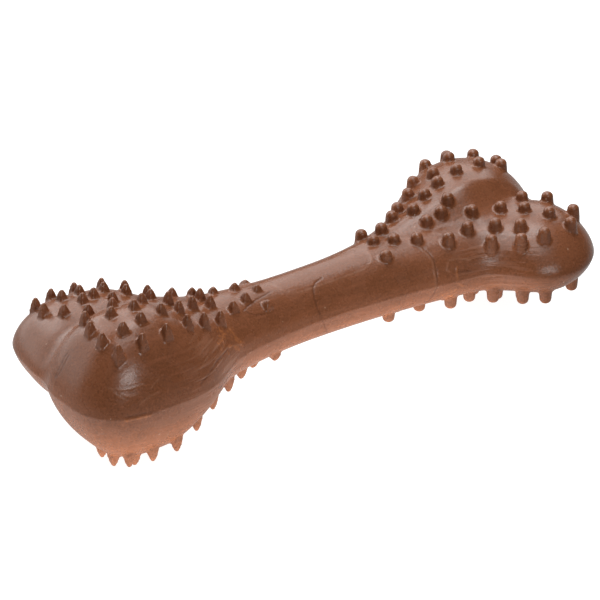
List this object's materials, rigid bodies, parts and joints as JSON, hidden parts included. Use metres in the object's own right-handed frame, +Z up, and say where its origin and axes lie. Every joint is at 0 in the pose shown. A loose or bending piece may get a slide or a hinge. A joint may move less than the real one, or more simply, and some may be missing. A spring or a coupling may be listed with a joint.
{
  "type": "dog chew bone",
  "caption": "Solid rubber dog chew bone with a waisted shaft, blunt square spikes on one knuckle end and round domed studs on the other, above and below.",
  "frame": {"origin": "middle of the bone's box in plan, at the level of its lowest spike tips", "axes": "+X along the bone towards the studded end, +Z up with the label panel on top, -Y towards the viewer of the picture"},
  "size_m": [0.1628, 0.062, 0.0435],
  "materials": {
    "rubber": "semi-gloss moulded"
  },
  "bodies": {
    "root": {"shaft": "rubber", "spiked_near_lobe": "rubber", "spiked_far_lobe": "rubber", "studded_near_lobe": "rubber", "studded_far_lobe": "rubber"}
  },
  "joints": []
}
